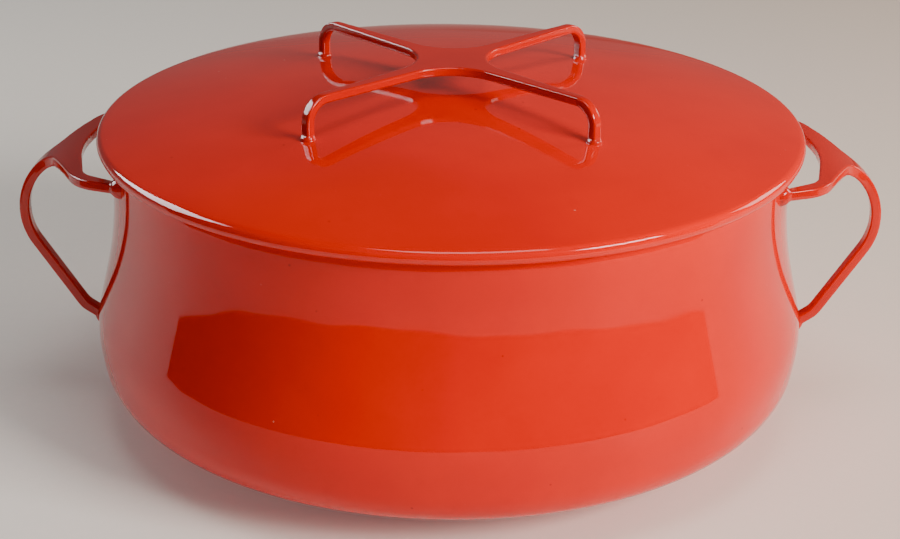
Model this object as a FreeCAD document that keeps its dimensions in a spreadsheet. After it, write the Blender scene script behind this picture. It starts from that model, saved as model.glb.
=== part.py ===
"""Covered two-handled casserole in enamelled sheet steel, with a lift-off lid.

Frame: millimetres, +Z up, origin at the middle of the flat base, +X through the side handles.
The pot is a deep-drawn shell with two welded side handles. The lid is a domed pressing with a
locating ring under it and a welded cross handle on top.
"""
import FreeCAD, Part
import Sketcher
import math
import os
import re

# ---------------------------------------------------------------- driving dimensions
DIMENSIONS = [
    # pot shell: corners of its outer outline, from the base up
    ("neck_radius", 136.8, "outside radius of the upright neck"),
    ("pot_height", 117.0, "height of the rim"),
    ("base_inset", 34.2, "where the flat base turns up, in from the neck"),
    ("base_blend", 30.0, "blend from the base into the lower slope"),
    ("knuckle_bulge", 5.5, "corner between the lower slope and the side, out from the neck"),
    ("knuckle_height", 17.2, "height of that corner"),
    ("knuckle_blend", 20.0, "blend at that corner"),
    ("belly_bulge", 9.4, "widest corner of the side, out from the neck"),
    ("belly_height", 41.7, "height of the widest corner"),
    ("belly_blend", 45.0, "blend at the widest corner"),
    ("neck_drop", 35.0, "where the side becomes upright, below the rim"),
    ("neck_blend", 150.0, "blend into the neck"),
    ("pot_wall", 1.8, "enamelled sheet of the pot"),
    ("rim_round", 0.6, "rounding of the rim's edges"),
    # lid pressing
    ("lid_gap", 0.3, "air between the lid's seat and the rim"),
    ("lid_overhang", 5.7, "how far the lid stands out past the neck"),
    ("lid_edge", 3.0, "radius of the rounded lid edge"),
    ("lid_dome", 690.0, "radius of the dome"),
    ("lid_wall", 1.6, "enamelled sheet of the lid"),
    ("seat_lip", 0.2, "seat that shows inside the locating ring"),
    ("hem_width", 4.6, "solid hem inside the rounded edge"),
    ("ring_depth", 8.0, "drop of the locating ring below the seat"),
    ("ring_wall", 1.5, "thickness of the locating ring"),
    ("ring_gap", 0.7, "air between the locating ring and the pot's wall"),
    # cross handle on the lid
    ("cross_height", 32.2, "top of the cross above the lid's seat"),
    ("cross_plate", 3.1, "plate thickness of the cross"),
    ("cross_arm", 3.6, "width of an arm at its bend"),
    ("leg_circle", 77.0, "radius at which the four legs stand"),
    ("leg_bend", 8.5, "bend radius at the middle of an arm"),
    ("notch_corner", 4.3, "corner between two arms, before its blend"),
    ("notch_blend", 21.5, "concave blend between two arms"),
    # side handles
    ("grip_drop", 7.5, "middle of the handle plate below the rim"),
    ("strap", 3.6, "plate thickness of a side handle"),
    ("grip_width", 5.4, "width of the outer arm"),
    ("grip_reach", 60.6, "corner of the outer bend, out from the neck"),
    ("grip_bend", 26.0, "radius of the outer bend at mid-thickness"),
    ("tail_reach", 6.4, "corner of the lower bend, out from the belly"),
    ("tail_rise", -0.7, "height of that corner above the belly"),
    ("tail_bend", 10.0, "radius of the lower bend at mid-thickness"),
    ("tail_slope", 0.65, "fall per unit run of the lowest stretch"),
    ("web_reach", 14.2, "inner edge of the web, out from the neck"),
    ("web_blend", 80.0, "curve of that inner edge"),
    ("arch_reach", 7.7, "inner corner of an upper arm, out from the neck"),
    ("arch_half", 35.3, "half spread of those inner corners"),
    ("arch_blend", 10.0, "blend at the inner corner"),
    ("shoulder_reach", 9.9, "outer corner of an upper arm, out from the neck"),
    ("shoulder_half", 42.0, "half spread of the outer corners"),
    ("shoulder_blend", 18.0, "blend at the outer corner"),
    ("crotch_reach", 26.7, "corner where the outer arm begins, out from the neck"),
    ("crotch_blend", 14.0, "concave blend at that corner"),
    ("arm_splay", 0.6, "sideways run of an upper arm's inner edge per unit towards the pot"),
    ("outer_splay", 0.36, "sideways run of its outer edge per unit towards the pot"),
    # welds, drowned in enamel
    ("bead_radius", 4.1, "radius of a bead at a side handle"),
    ("bead_sink", 0.8, "middle of an upper arm's bead, in from the neck"),
    ("foot_bead", 1.6, "middle of the bead at the outer arm's foot, in from the belly"),
    ("collar_foot", 3.0, "foot radius of a collar at a cross leg"),
    ("collar_top", 2.6, "top radius of that collar"),
    ("collar_height", 1.2, "height of that collar above the dome"),
]
NAMES = [row[0] for row in DIMENSIONS]

# Places that several pieces share, written once in terms of the dimensions above.
BASE_RADIUS = "(neck_radius - base_inset)"
KNUCKLE_RADIUS = "(neck_radius + knuckle_bulge)"
BELLY_RADIUS = "(neck_radius + belly_bulge)"
NECK_HEIGHT = "(pot_height - neck_drop)"
SEAT = "(pot_height + lid_gap)"
LID_RADIUS = "(neck_radius + lid_overhang)"
EDGE_CENTRE = "(neck_radius + lid_overhang - lid_edge)"
DOME_CENTRE = ("(pot_height + lid_gap + lid_edge"
               " - sqrt(pow(lid_dome - lid_edge; 2) - pow(neck_radius + lid_overhang - lid_edge; 2)))")
RING_RADIUS = "(neck_radius - pot_wall - ring_gap)"
CROSS_LEVEL = "(pot_height + lid_gap + cross_height - cross_plate / 2)"
GRIP_LEVEL = "(pot_height - grip_drop)"
BURIED = 16.0           # how far a handle's blank runs on into the form that trims it
SPARE = 4.0             # how far a cutting outline runs past what it cuts
TOLERANCE = 1e-4

doc = FreeCAD.newDocument("casserole")
sheet = doc.addObject("Spreadsheet::Sheet", "Sizes")
for row, (alias, number, note) in enumerate(DIMENSIONS, start=1):
    sheet.set("A%d" % row, note)
    sheet.set("B%d" % row, str(number))
    sheet.setAlias("B%d" % row, alias)
doc.recompute()


# ---------------------------------------------------------------- helpers
def bound(formula):
    """A formula in the dimension names, written the way the document reads it."""
    return re.sub(r"\b(%s)\b" % "|".join(NAMES), r"Sizes.\1", str(formula))


def value(formula):
    """What a formula comes to with the sheet as it stands."""
    return float(sheet.evalExpression(bound(formula)))


def new_body(name):
    body = doc.addObject("PartDesign::Body", name)
    body.Label = name
    return body


def new_sketch(body, role, name):
    plane = [feature for feature in body.Origin.OriginFeatures if feature.Role == role][0]
    sketch = body.newObject("Sketcher::SketchObject", name)
    sketch.AttachmentSupport = [(plane, "")]
    sketch.MapMode = "FlatFace"
    return sketch


def drive(sketch, constraint, formula):
    """Add a dimension to a sketch and tie it to the sheet."""
    index = sketch.addConstraint(constraint)
    sketch.setExpression("Constraints[%d]" % index, bound(formula))


def pin_across(sketch, geometry, vertex, across):
    """Hold a vertex sideways only, at a formula measured from the sketch's origin."""
    drive(sketch, Sketcher.Constraint("DistanceX", -1, 1, geometry, vertex, value(across)), across)


def pin(sketch, geometry, vertex, across, up):
    """Hold a vertex at two formulas, measured from the sketch's origin."""
    pin_across(sketch, geometry, vertex, across)
    drive(sketch, Sketcher.Constraint("DistanceY", -1, 1, geometry, vertex, value(up)), up)


def flat(formula_x, formula_y):
    return FreeCAD.Vector(value(formula_x), value(formula_y), 0)


def draw(sketch, corners, closed=True):
    """Straight runs between corners (x, y, blend); a blend of None leaves a corner sharp."""
    count = len(corners)
    points = [flat(x, y) for x, y, _ in corners]
    leave = list(points)
    arrive = list(points)
    arcs = {}
    for i, (_, _, blend) in enumerate(corners):
        if blend is None:
            continue
        back = (points[i - 1] - points[i]).normalize()
        ahead = (points[(i + 1) % count] - points[i]).normalize()
        half = back.getAngle(ahead) / 2
        radius = value(blend)
        arrive[i] = points[i] + back * (radius / math.tan(half))
        leave[i] = points[i] + ahead * (radius / math.tan(half))
        middle = points[i] + (back + ahead).normalize() * (radius / math.sin(half))
        turns_left = back.cross(ahead).z < 0
        first, last = (arrive[i], leave[i]) if turns_left else (leave[i], arrive[i])
        start = math.atan2(first.y - middle.y, first.x - middle.x)
        end = math.atan2(last.y - middle.y, last.x - middle.x)
        circle = Part.Circle(middle, FreeCAD.Vector(0, 0, 1), radius)
        arc = sketch.addGeometry(Part.ArcOfCircle(circle, start, end))
        arcs[i] = (arc, 1 if turns_left else 2, 2 if turns_left else 1)
    runs = {}
    for i in range(count if closed else count - 1):
        after = (i + 1) % count
        runs[i] = sketch.addGeometry(Part.LineSegment(leave[i], arrive[after]))
    for i, (across, up, blend) in enumerate(corners):
        before = runs.get((i - 1) % count)
        after = runs.get(i)
        if blend is not None:
            arc, entry, way_out = arcs[i]
            sketch.addConstraint(Sketcher.Constraint("Tangent", before, 2, arc, entry))
            sketch.addConstraint(Sketcher.Constraint("Tangent", arc, way_out, after, 1))
            drive(sketch, Sketcher.Constraint("Radius", arc, value(blend)), blend)
            corner = sketch.addGeometry(Part.Point(points[i]), True)
            sketch.addConstraint(Sketcher.Constraint("PointOnObject", corner, 1, before))
            sketch.addConstraint(Sketcher.Constraint("PointOnObject", corner, 1, after))
            pin(sketch, corner, 1, across, up)
        elif after is None:
            pin(sketch, before, 2, across, up)
        else:
            if before is not None:
                sketch.addConstraint(Sketcher.Constraint("Coincident", before, 2, after, 1))
            pin(sketch, after, 1, across, up)


def revolve(body, sketch, name):
    turn = body.newObject("PartDesign::Revolution", name)
    turn.Profile = sketch
    turn.ReferenceAxis = (sketch, ["V_Axis"])
    turn.Angle = 360.0


def sweep(body, profile, path, name):
    pipe = body.newObject("PartDesign::AdditivePipe", name)
    pipe.Profile = profile
    pipe.Spine = path
    return pipe


def section(body, name, start, level, width, thickness):
    """An upright rectangle across X, centred on a strap's mid-line where its path starts."""
    sketch = new_sketch(body, "YZ_Plane", name)
    low = "%s - %s / 2" % (level, thickness)
    high = "%s + %s / 2" % (level, thickness)
    side = "%s / 2" % width
    draw(sketch, [("-" + side, low, None), (side, low, None), (side, high, None), ("-" + side, high, None)])
    sketch.setExpression("AttachmentOffset.Base.z", bound(start))
    return sketch


def boolean(kind, name, base, tool):
    result = doc.addObject("Part::" + kind, name)
    result.Base = base
    result.Tool = tool
    result.Label = name
    return result


def weld(name, bead, blank, wall):
    """A bead less the wall that it lies on, and less the handle's blank that it runs round."""
    proud = boolean("Cut", name + "_on_wall", bead, wall)
    return boolean("Cut", name, proud, blank)


def gather(name, pieces):
    group = doc.addObject("Part::Compound", name)
    group.Links = pieces
    group.Label = name
    return group


def mirrored(name, source):
    copy = doc.addObject("Part::Mirroring", name)
    copy.Source = source
    copy.Normal = (1, 0, 0)
    copy.Label = name
    return copy


# ---------------------------------------------------------------- pot
OUTSIDE = [
    ("0", "0", None),
    (BASE_RADIUS, "0", "base_blend"),
    (KNUCKLE_RADIUS, "knuckle_height", "knuckle_blend"),
    (BELLY_RADIUS, "belly_height", "belly_blend"),
    ("neck_radius", NECK_HEIGHT, "neck_blend"),
    ("neck_radius", "pot_height", None),
]
HOLLOW_BLENDS = [None, "base_blend - pot_wall", "knuckle_blend - pot_wall", "belly_blend - pot_wall",
                 "neck_blend + pot_wall", None]


def heading(first, second):
    """The direction of the run between two corners, as a formula."""
    return "atan2(%s - (%s); %s - (%s))" % (second[1], first[1], second[0], first[0])


def inside_corner(before, here, after, blend):
    """A corner of the outline moved in by the wall, so that both its runs move in by the wall."""
    first, second = heading(before, here), heading(here, after)
    share = "pot_wall / (1 + cos(%s - %s))" % (first, second)
    across = "%s - (sin(%s) + sin(%s)) * %s" % (here[0], first, second, share)
    up = "%s + (cos(%s) + cos(%s)) * %s" % (here[1], first, second, share)
    return across, up, blend


def pot_outline(body):
    """Half of the pot's outside, filled to the axis."""
    sketch = new_sketch(body, "XZ_Plane", "outline")
    draw(sketch, OUTSIDE + [("0", "pot_height", None)])
    return sketch


def pot_hollow(body):
    """Half of the pot's inside, open through the mouth."""
    sketch = new_sketch(body, "XZ_Plane", "hollow_outline")
    above = "pot_height + %g" % SPARE
    corners = [("0", "pot_wall", None)]
    for before, here, after, blend in zip(OUTSIDE, OUTSIDE[1:], OUTSIDE[2:], HOLLOW_BLENDS[1:]):
        corners.append(inside_corner(before, here, after, blend))
    corners.append(("neck_radius - pot_wall", above, None))
    corners.append(("0", above, None))
    draw(sketch, corners)
    return sketch


def build_pot_form():
    """The pot as a full block: it trims the ends of whatever is welded to the wall."""
    body = new_body("pot_form")
    revolve(body, pot_outline(body), "block")
    return body


def build_pot():
    body = new_body("pot_body")
    revolve(body, pot_outline(body), "block")
    hollow = body.newObject("PartDesign::Groove", "hollow")
    hollow.Profile = pot_hollow(body)
    hollow.ReferenceAxis = (hollow.Profile[0], ["V_Axis"])
    hollow.Angle = 360.0
    body.Tip = hollow
    doc.recompute()
    rim = [index for index, edge in enumerate(hollow.Shape.Edges, start=1)
           if abs(edge.BoundBox.ZMin - value("pot_height")) < TOLERANCE]
    softened = body.newObject("PartDesign::Fillet", "rim_rounding")
    softened.Base = (hollow, ["Edge%d" % index for index in rim])
    softened.setExpression("Radius", bound("rim_round"))
    body.Tip = softened
    return body


# ---------------------------------------------------------------- lid
def lid_outline(body):
    """Half of the lid's sheet: dome, rounded edge, seat and the hollow under the dome."""
    sketch = new_sketch(body, "XZ_Plane", "outline")
    up = FreeCAD.Vector(0, 0, 1)
    dome_centre = flat("0", DOME_CENTRE)
    edge_centre = flat(EDGE_CENTRE, SEAT + " + lid_edge")
    hem = "%s - hem_width" % LID_RADIUS
    seat_edge = "%s - ring_wall - seat_lip" % RING_RADIUS
    ceiling = SEAT + " + lid_wall"
    lean = math.atan2(edge_centre.y - dome_centre.y, edge_centre.x)
    dome_circle = Part.Circle(dome_centre, up, value("lid_dome"))
    dome = sketch.addGeometry(Part.ArcOfCircle(dome_circle, lean, math.pi / 2))
    edge_circle = Part.Circle(edge_centre, up, value("lid_edge"))
    edge = sketch.addGeometry(Part.ArcOfCircle(edge_circle, -math.pi / 2, lean))
    pin(sketch, edge, 3, EDGE_CENTRE, SEAT + " + lid_edge")
    drive(sketch, Sketcher.Constraint("Radius", edge, value("lid_edge")), "lid_edge")
    drive(sketch, Sketcher.Constraint("Radius", dome, value("lid_dome")), "lid_dome")
    sketch.addConstraint(Sketcher.Constraint("Tangent", edge, 2, dome, 1))
    sketch.addConstraint(Sketcher.Constraint("PointOnObject", dome, 3, -2))
    sketch.addConstraint(Sketcher.Constraint("PointOnObject", dome, 2, -2))
    inner_circle = Part.Circle(dome_centre, up, value("lid_dome - lid_wall"))
    reach = math.acos(value(hem) / inner_circle.Radius)
    inner = sketch.addGeometry(Part.ArcOfCircle(inner_circle, reach, math.pi / 2))
    sketch.addConstraint(Sketcher.Constraint("Coincident", inner, 3, dome, 3))
    drive(sketch, Sketcher.Constraint("Radius", inner, inner_circle.Radius), "lid_dome - lid_wall")
    sketch.addConstraint(Sketcher.Constraint("PointOnObject", inner, 2, -2))
    hem_top = dome_centre + FreeCAD.Vector(math.cos(reach), math.sin(reach), 0) * inner_circle.Radius
    stops = [flat(EDGE_CENTRE, SEAT), flat(seat_edge, SEAT), flat(seat_edge, ceiling),
             flat(hem, ceiling), hem_top]
    runs = [sketch.addGeometry(Part.LineSegment(a, b)) for a, b in zip(stops, stops[1:])]
    axis = sketch.addGeometry(Part.LineSegment(flat("0", DOME_CENTRE + " + lid_dome - lid_wall"),
                                               flat("0", DOME_CENTRE + " + lid_dome")))
    sketch.addConstraint(Sketcher.Constraint("Coincident", edge, 1, runs[0], 1))
    for first, second in zip(runs, runs[1:]):
        sketch.addConstraint(Sketcher.Constraint("Coincident", first, 2, second, 1))
    sketch.addConstraint(Sketcher.Constraint("Coincident", runs[3], 2, inner, 1))
    sketch.addConstraint(Sketcher.Constraint("Coincident", inner, 2, axis, 1))
    sketch.addConstraint(Sketcher.Constraint("Coincident", axis, 2, dome, 2))
    pin_across(sketch, runs[0], 1, EDGE_CENTRE)
    pin(sketch, runs[1], 1, seat_edge, SEAT)
    pin(sketch, runs[2], 1, seat_edge, ceiling)
    pin(sketch, runs[3], 1, hem, ceiling)
    sketch.addConstraint(Sketcher.Constraint("Vertical", runs[3]))
    return sketch


def build_lid():
    body = new_body("lid_shell")
    revolve(body, lid_outline(body), "pressing")
    return body


def build_dome_form():
    """The dome carried on to a full ball: it trims the feet of whatever stands on the lid."""
    ball = doc.addObject("Part::Sphere", "dome_form")
    ball.setExpression("Radius", bound("lid_dome"))
    ball.setExpression("Placement.Base.z", bound(DOME_CENTRE))
    return ball


def build_locating_ring():
    body = new_body("lid_locating_ring")
    sketch = new_sketch(body, "XZ_Plane", "outline")
    inside = "%s - ring_wall" % RING_RADIUS
    low = "%s - ring_depth" % SEAT
    draw(sketch, [(inside, low, None), (RING_RADIUS, low, None),
                  (RING_RADIUS, SEAT, None), (inside, SEAT, None)])
    revolve(body, sketch, "band")
    return body


# ---------------------------------------------------------------- cross handle
def build_cross_blank():
    """Four tapering arms in one plate, each bent down into a leg."""
    body = new_body("cross_blank")
    plan = new_sketch(body, "XY_Plane", "plan")
    tip = "leg_circle - leg_bend"
    side = "cross_arm / 2"
    quarter = [(tip, "-" + side, None), (tip, side, None), ("notch_corner", "notch_corner", "notch_blend")]
    corners = []
    for turn in range(4):
        for across, up, blend in quarter:
            if turn == 0:
                corners.append((across, up, blend))
            elif turn == 1:
                corners.append(("-(%s)" % up, across, blend))
            elif turn == 2:
                corners.append(("-(%s)" % across, "-(%s)" % up, blend))
            else:
                corners.append((up, "-(%s)" % across, blend))
    draw(plan, corners)
    plan.setExpression("AttachmentOffset.Base.z", bound(CROSS_LEVEL + " - cross_plate / 2"))
    plate = body.newObject("PartDesign::Pad", "plate")
    plate.Profile = plan
    plate.setExpression("Length", bound("cross_plate"))
    path = new_sketch(body, "XZ_Plane", "leg_path")
    start = "leg_circle / 2"
    draw(path, [(start, CROSS_LEVEL, None), ("leg_circle", CROSS_LEVEL, "leg_bend"),
                ("leg_circle", SEAT, None)], closed=False)
    profile = section(body, "leg_section", start, CROSS_LEVEL, "cross_arm", "cross_plate")
    leg = sweep(body, profile, path, "leg")
    doc.recompute()
    legs = body.newObject("PartDesign::PolarPattern", "legs")
    legs.Originals = [leg]
    legs.Axis = (plan, ["N_Axis"])
    legs.Angle = 360.0
    legs.Occurrences = 4
    body.Tip = legs
    body.Placement = FreeCAD.Placement(FreeCAD.Vector(), FreeCAD.Rotation(FreeCAD.Vector(0, 0, 1), 45))
    return body


def build_cross_collars(wall, blank):
    """A cone of enamelled weld round each leg, standing on the dome."""
    reach = "leg_circle * cos(45)"
    foot = DOME_CENTRE + " + sqrt(pow(lid_dome; 2) - pow(leg_circle; 2)) - collar_height / 2"
    collars = []
    for word, front in (("back", 1), ("front", -1)):
        cone = doc.addObject("Part::Cone", "collar_cone_" + word)
        cone.setExpression("Radius1", bound("collar_foot"))
        cone.setExpression("Radius2", bound("collar_top"))
        cone.setExpression("Height", bound("1.5 * collar_height"))
        cone.setExpression("Placement.Base.x", bound(reach))
        cone.setExpression("Placement.Base.y", bound("%d * %s" % (front, reach)))
        cone.setExpression("Placement.Base.z", bound(foot))
        collar = weld("collar_" + word, cone, blank, wall)
        collars += [collar, mirrored("left_collar_" + word, collar)]
    return gather("lid_handle_welds", collars)


# ---------------------------------------------------------------- side handles
def build_grip_blank():
    """One bent plate: two splayed upper arms, a web, and an outer arm that comes back to the belly.

    A wide strip follows the outer arm's whole path. Everything outside the plan is cut away above the
    middle of the outer bend, and everything beside the outer arm is cut away below it.
    """
    body = new_body("grip_blank")
    start = "neck_radius - %g" % BURIED
    corner = "neck_radius + grip_reach"
    tail = BELLY_RADIUS + " + tail_reach"
    tail_level = "belly_height + tail_rise"
    foot = "%s - %g" % (BELLY_RADIUS, BURIED)
    foot_level = "%s - tail_slope * (tail_reach + %g)" % (tail_level, BURIED)
    bend_middle = "%s - grip_bend" % GRIP_LEVEL
    path = new_sketch(body, "XZ_Plane", "strip_path")
    draw(path, [(start, GRIP_LEVEL, None), (corner, GRIP_LEVEL, "grip_bend"),
                (tail, tail_level, "tail_bend"), (foot, foot_level, None)], closed=False)
    profile = section(body, "strip_section", start, GRIP_LEVEL, "(3 * shoulder_half)", "strap")
    strip = sweep(body, profile, path, "strip")
    plan = new_sketch(body, "XY_Plane", "plan")
    cut_plan(plan)
    plan.setExpression("AttachmentOffset.Base.z", bound(GRIP_LEVEL + " + strap"))
    upper = body.newObject("PartDesign::Pocket", "upper_trim")
    upper.Profile = plan
    upper.setExpression("Length", bound("strap + grip_bend"))
    sides = new_sketch(body, "YZ_Plane", "beside_outer_arm")
    for side in ("", "-"):
        near = side + "grip_width / 2"
        far = side + "2 * shoulder_half"
        draw(sides, [(near, "0", None), (far, "0", None),
                     (far, bend_middle, None), (near, bend_middle, None)])
    lower = body.newObject("PartDesign::Pocket", "lower_trim")
    lower.Profile = sides
    lower.Type = "ThroughAll"
    lower.Midplane = True
    body.Tip = lower
    doc.recompute()
    if not lower.Shape.Volume < upper.Shape.Volume < strip.Shape.Volume:
        raise RuntimeError("a trim of the side handle cut nothing")
    return body


def cut_plan(sketch):
    """Everything outside the handle's plan: a frame round the outline of arms, web and outer arm."""
    margin = "3 * shoulder_half"
    far = "neck_radius + grip_reach + %g" % BURIED
    near = "neck_radius - 2 * %g" % BURIED
    draw(sketch, [(near, "-" + margin, None), (far, "-" + margin, None),
                  (far, margin, None), (near, margin, None)])
    run_in = BURIED + SPARE
    root = "neck_radius - %g" % run_in
    inner_root = "arch_half + arm_splay * (arch_reach + %g)" % run_in
    outer_root = "shoulder_half + outer_splay * (shoulder_reach + %g)" % run_in
    tip = "neck_radius + grip_reach + %g" % SPARE
    upper = [
        (tip, "grip_width / 2", None),
        ("neck_radius + crotch_reach", "grip_width / 2", "crotch_blend"),
        ("neck_radius + shoulder_reach", "shoulder_half", "shoulder_blend"),
        (root, outer_root, None),
        (root, inner_root, None),
        ("neck_radius + arch_reach", "arch_half", "arch_blend"),
    ]
    lower = [(across, "-(%s)" % up, blend) for across, up, blend in reversed(upper)]
    draw(sketch, upper + [("neck_radius + web_reach", "0", "web_blend")] + lower)


def build_neck_form():
    """The neck as a full cylinder: it trims the beads of the upper arms."""
    neck = doc.addObject("Part::Cylinder", "neck_form")
    neck.setExpression("Radius", bound("neck_radius"))
    neck.setExpression("Height", bound("2 * pot_height"))
    return neck


def build_beads(pot, blank):
    """Weld beads where the two upper arms and the outer arm meet the wall."""
    neck_form = build_neck_form()
    setback = "(neck_radius - sqrt(pow(neck_radius; 2) - pow(arch_half; 2)))"
    spread = "arch_half + arm_splay * (arch_reach + %s)" % setback
    middle = "(%s + (shoulder_half - arch_half) / 2)" % spread
    wall = "sqrt(pow(neck_radius; 2) - pow(%s; 2))" % middle
    foot_level = "belly_height + tail_rise - tail_slope * (tail_reach + foot_bead)"
    feet = [(wall + " - bead_sink", middle, GRIP_LEVEL, neck_form),
            (wall + " - bead_sink", "-" + middle, GRIP_LEVEL, neck_form),
            (BELLY_RADIUS + " - foot_bead", "0", foot_level, pot)]
    beads = []
    for index, (across, along, level, wall_form) in enumerate(feet, start=1):
        bead = doc.addObject("Part::Sphere", "bead_ball_%d" % index)
        bead.setExpression("Radius", bound("bead_radius"))
        bead.setExpression("Placement.Base.x", bound(across))
        bead.setExpression("Placement.Base.y", bound(along))
        bead.setExpression("Placement.Base.z", bound(level))
        beads.append(weld("bead_%d" % index, bead, blank, wall_form))
    return gather("right_handle_welds", beads)


# ---------------------------------------------------------------- assembly
pot_form = build_pot_form()
pot_body = build_pot()
dome_form = build_dome_form()
lid_shell = build_lid()
lid_ring = build_locating_ring()
cross_blank = build_cross_blank()
lid_handle = boolean("Cut", "lid_handle", cross_blank, dome_form)
lid_welds = build_cross_collars(dome_form, cross_blank)
grip_blank = build_grip_blank()
right_handle = boolean("Cut", "right_handle", grip_blank, pot_form)
right_welds = build_beads(pot_form, grip_blank)
left_handle = mirrored("left_handle", right_handle)
left_welds = mirrored("left_handle_welds", right_welds)
doc.recompute()

NODES = [pot_body, right_handle, right_welds, left_handle, left_welds,
         lid_shell, lid_ring, lid_handle, lid_welds]

# ---------------------------------------------------------------- checks, then the files
for item in doc.Objects:
    if "Invalid" in item.State or "Error" in item.State:
        raise RuntimeError("failed: %s %s %s" % (item.Name, item.Label, item.State))
for node in NODES:
    if node.Shape.isNull() or not node.Shape.isValid():
        raise RuntimeError("bad solid: " + node.Label)
os.makedirs("parts", exist_ok=True)
for node in NODES:
    node.Shape.exportStep("parts/%s.step" % node.Label)
    box = node.Shape.BoundBox
    volumes = " + ".join("%.1f" % solid.Volume for solid in node.Shape.Solids)
    print("%-20s volume %s  x %.1f %.1f  y %.1f %.1f  z %.1f %.1f" % (
        node.Label, volumes, box.XMin, box.XMax, box.YMin, box.YMax, box.ZMin, box.ZMax))
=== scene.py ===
"""Looks of a covered casserole in enamelled sheet steel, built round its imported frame.

The pot, the lid and the locating ring are turned from their sections by one lathe. The side handles
and the cross handle are bent plates whose edges, weld beads and feet are drowned in enamel.
"""
import logging
import math
from dataclasses import dataclass, field
from enum import Enum
from typing import Any, Callable, Iterable, Sequence

import bmesh
import bpy
import numpy as np
from mathutils import Matrix, Vector


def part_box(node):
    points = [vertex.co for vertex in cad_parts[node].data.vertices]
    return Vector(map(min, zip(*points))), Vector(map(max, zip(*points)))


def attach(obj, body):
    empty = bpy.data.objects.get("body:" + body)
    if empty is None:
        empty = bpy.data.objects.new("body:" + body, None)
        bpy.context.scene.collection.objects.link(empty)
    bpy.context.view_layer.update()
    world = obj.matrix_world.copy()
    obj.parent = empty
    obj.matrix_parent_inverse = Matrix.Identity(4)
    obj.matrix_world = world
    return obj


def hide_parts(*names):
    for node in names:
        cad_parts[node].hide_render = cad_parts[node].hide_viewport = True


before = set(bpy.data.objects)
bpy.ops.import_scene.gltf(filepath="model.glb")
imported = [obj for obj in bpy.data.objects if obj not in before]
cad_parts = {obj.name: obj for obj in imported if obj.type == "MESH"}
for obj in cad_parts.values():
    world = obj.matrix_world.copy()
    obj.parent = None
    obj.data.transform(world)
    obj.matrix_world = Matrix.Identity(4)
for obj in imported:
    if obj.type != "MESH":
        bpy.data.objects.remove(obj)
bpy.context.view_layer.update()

LOG = logging.getLogger("casserole")
MM = 0.001
TINY = 1e-7  # metres; points closer than this are one point
PROBE = 0.05 * MM  # step over which a surface's slope is measured
MERGE = 0.002 * MM  # doubled points of the frame's solids
WELD = 0.004 * MM  # doubled points of a turned piece, its poles included

Point2 = tuple[float, float]
Colour = tuple[float, float, float]


@dataclass(frozen=True)
class Grain:
    """A pattern's scale and the two values between which it turns into a mask."""

    scale: float
    low: float
    high: float
    detail: float = 1.0
    rough: float = 0.5


# ------------------------------------------------------------------ shader writing
class Link:
    """A node's output socket, with the operators that shader maths needs."""

    def __init__(self, shader: "Shader", socket: bpy.types.NodeSocket) -> None:
        """Keep the socket and the shader that it belongs to."""
        self.shader = shader
        self.socket = socket

    def _math(self, operation: str, first: Any, second: Any) -> "Link":
        """Add one Math node."""
        return self.shader.node("ShaderNodeMath", {"operation": operation}, {0: first, 1: second})

    def __add__(self, other: Any) -> "Link":
        """Sum."""
        return self._math("ADD", self, other)

    __radd__ = __add__

    def __sub__(self, other: Any) -> "Link":
        """Difference."""
        return self._math("SUBTRACT", self, other)

    def __rsub__(self, other: Any) -> "Link":
        """Reflected difference, so that 1 - mask works."""
        return self._math("SUBTRACT", other, self)

    def __mul__(self, other: Any) -> "Link":
        """Product."""
        return self._math("MULTIPLY", self, other)

    __rmul__ = __mul__

    def ramp(self, low: float, high: float) -> "Link":
        """Smooth step from 0 at low to 1 at high.

        Args:
            low: Value where the result is 0.
            high: Value where the result is 1.

        Returns:
            The smoothed mask.
        """
        inputs = {0: self, 1: low, 2: high, 3: 0.0, 4: 1.0}
        return self.shader.node("ShaderNodeMapRange", {"interpolation_type": "SMOOTHSTEP"}, inputs)


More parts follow.
